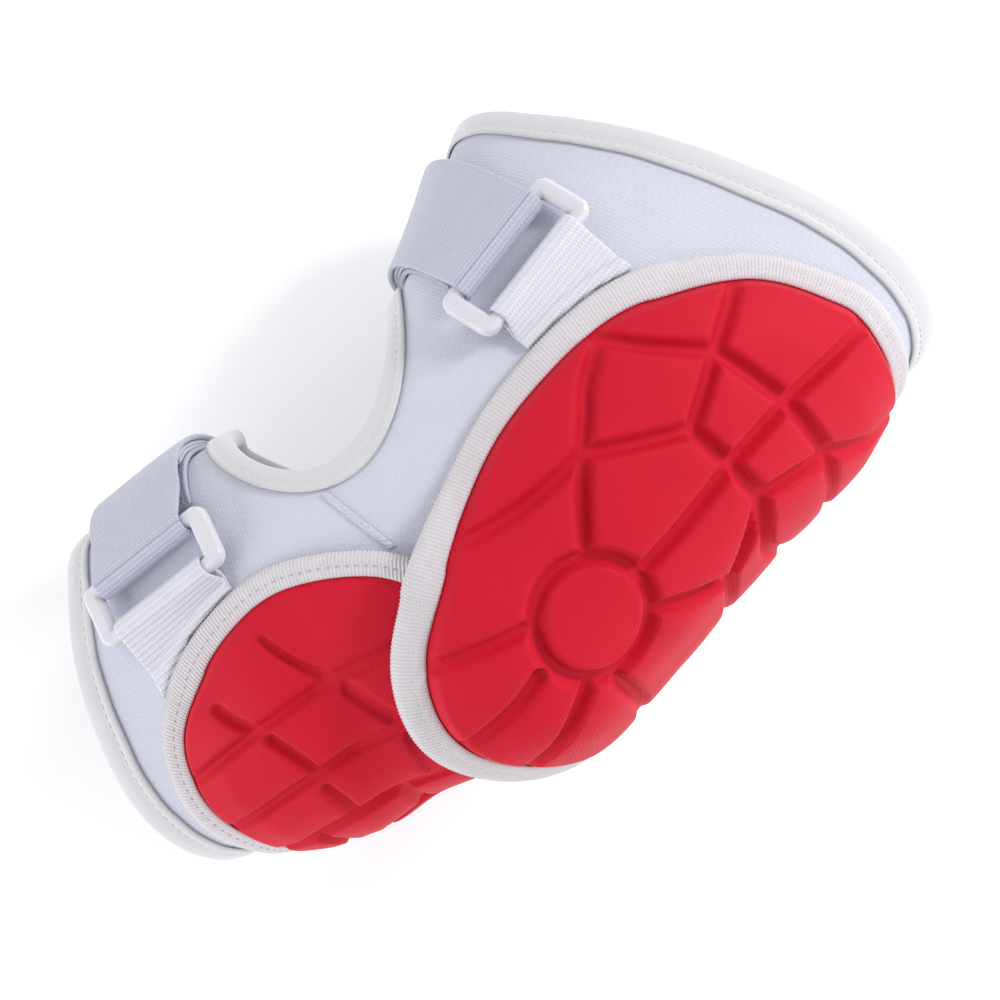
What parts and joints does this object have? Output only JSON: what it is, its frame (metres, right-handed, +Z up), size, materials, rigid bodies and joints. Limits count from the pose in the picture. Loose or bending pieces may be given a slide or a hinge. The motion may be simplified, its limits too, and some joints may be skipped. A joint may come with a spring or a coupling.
{
  "type": "elbow pad",
  "caption": "Slip-on elbow guard: an oval knit sleeve bent at the elbow, two overlapping moulded pads, and two hook-and-loop straps through plastic loops.",
  "frame": {"origin": "the elbow's pivot, inside the sleeve at the bend", "axes": "+X towards the upper arm along the guard's length, +Y towards the crook of the elbow, +Z up, out of the side that carries the pads and loops"},
  "size_m": [0.2597, 0.1705, 0.129],
  "materials": {
    "knit": "brushed white stretch knit with a fine embossed diagonal pattern",
    "elastic_tape": "smooth satin fold-over elastic",
    "ribbed_tape": "ribbed grosgrain tape with a grey stitch line",
    "red_fabric": "fine red twill over moulded foam",
    "foam": "closed-cell foam",
    "liner": "thin mesh liner",
    "webbing": "cross-ribbed nylon webbing",
    "elastic_strap": "lengthwise ribbed woven elastic",
    "hook_and_loop": "hook and loop tape",
    "loop_plastic": "matte white moulded acetal"
  },
  "bodies": {
    "upper_cuff": {"upper_sleeve": "knit", "elbow_sleeve": "knit", "elbow_seam": "elastic_tape", "upper_hem": "elastic_tape", "crook_binding": "elastic_tape", "elbow_pad_backing": "liner", "elbow_pad_foam": "foam", "elbow_pad_cover": "red_fabric", "elbow_pad_binding": "ribbed_tape", "upper_tab": "webbing", "upper_strap": "elastic_strap", "upper_loop_patch": "hook_and_loop"},
    "forearm_cuff": {"forearm_sleeve": "knit", "forearm_hem": "elastic_tape", "forearm_pad_backing": "liner", "forearm_pad_foam": "foam", "forearm_pad_cover": "red_fabric", "forearm_pad_binding": "ribbed_tape", "forearm_tab": "webbing", "forearm_strap": "elastic_strap", "forearm_loop_patch": "hook_and_loop"},
    "upper_loop": {"upper_ring": "loop_plastic", "upper_strap_fold": "elastic_strap"},
    "upper_strap_tail": {"upper_tail": "elastic_strap", "upper_hook_patch": "hook_and_loop"},
    "forearm_loop": {"forearm_ring": "loop_plastic", "forearm_strap_fold": "elastic_strap"},
    "forearm_strap_tail": {"forearm_tail": "elastic_strap", "forearm_hook_patch": "hook_and_loop"}
  },
  "joints": [
    {"name": "elbow_bend", "type": "hinge", "parent": "upper_cuff", "child": "forearm_cuff", "pos_m": [0, 0, 0], "axis": [0, -0.8192, -0.5736], "range_deg": [-6, 60], "stiffness_Nm_per_rad": 2, "deforming": ["elbow_sleeve", "elbow_seam", "crook_binding"]},
    {"name": "upper_loop_tilt", "type": "hinge", "parent": "upper_cuff", "child": "upper_loop", "pos_m": [0.06477, 0.03854, 0.05101], "axis": [0.9555, 0.1957, -0.2206], "range_deg": [0, 15]},
    {"name": "upper_tail_peel", "type": "hinge", "parent": "upper_loop", "child": "upper_strap_tail", "pos_m": [0.06083, 0.05455, 0.04817], "axis": [0.9555, 0.1957, -0.2206], "range_deg": [0, 85]},
    {"name": "forearm_loop_tilt", "type": "hinge", "parent": "forearm_cuff", "child": "forearm_loop", "pos_m": [-0.07611, 0.03711, 0.03382], "axis": [0.8944, -0.0007, 0.4472], "range_deg": [0, 15]},
    {"name": "forearm_tail_peel", "type": "hinge", "parent": "forearm_loop", "child": "forearm_strap_tail", "pos_m": [-0.07458, 0.05379, 0.03077], "axis": [0.8944, -0.0007, 0.4472], "range_deg": [0, 85]}
  ]
}
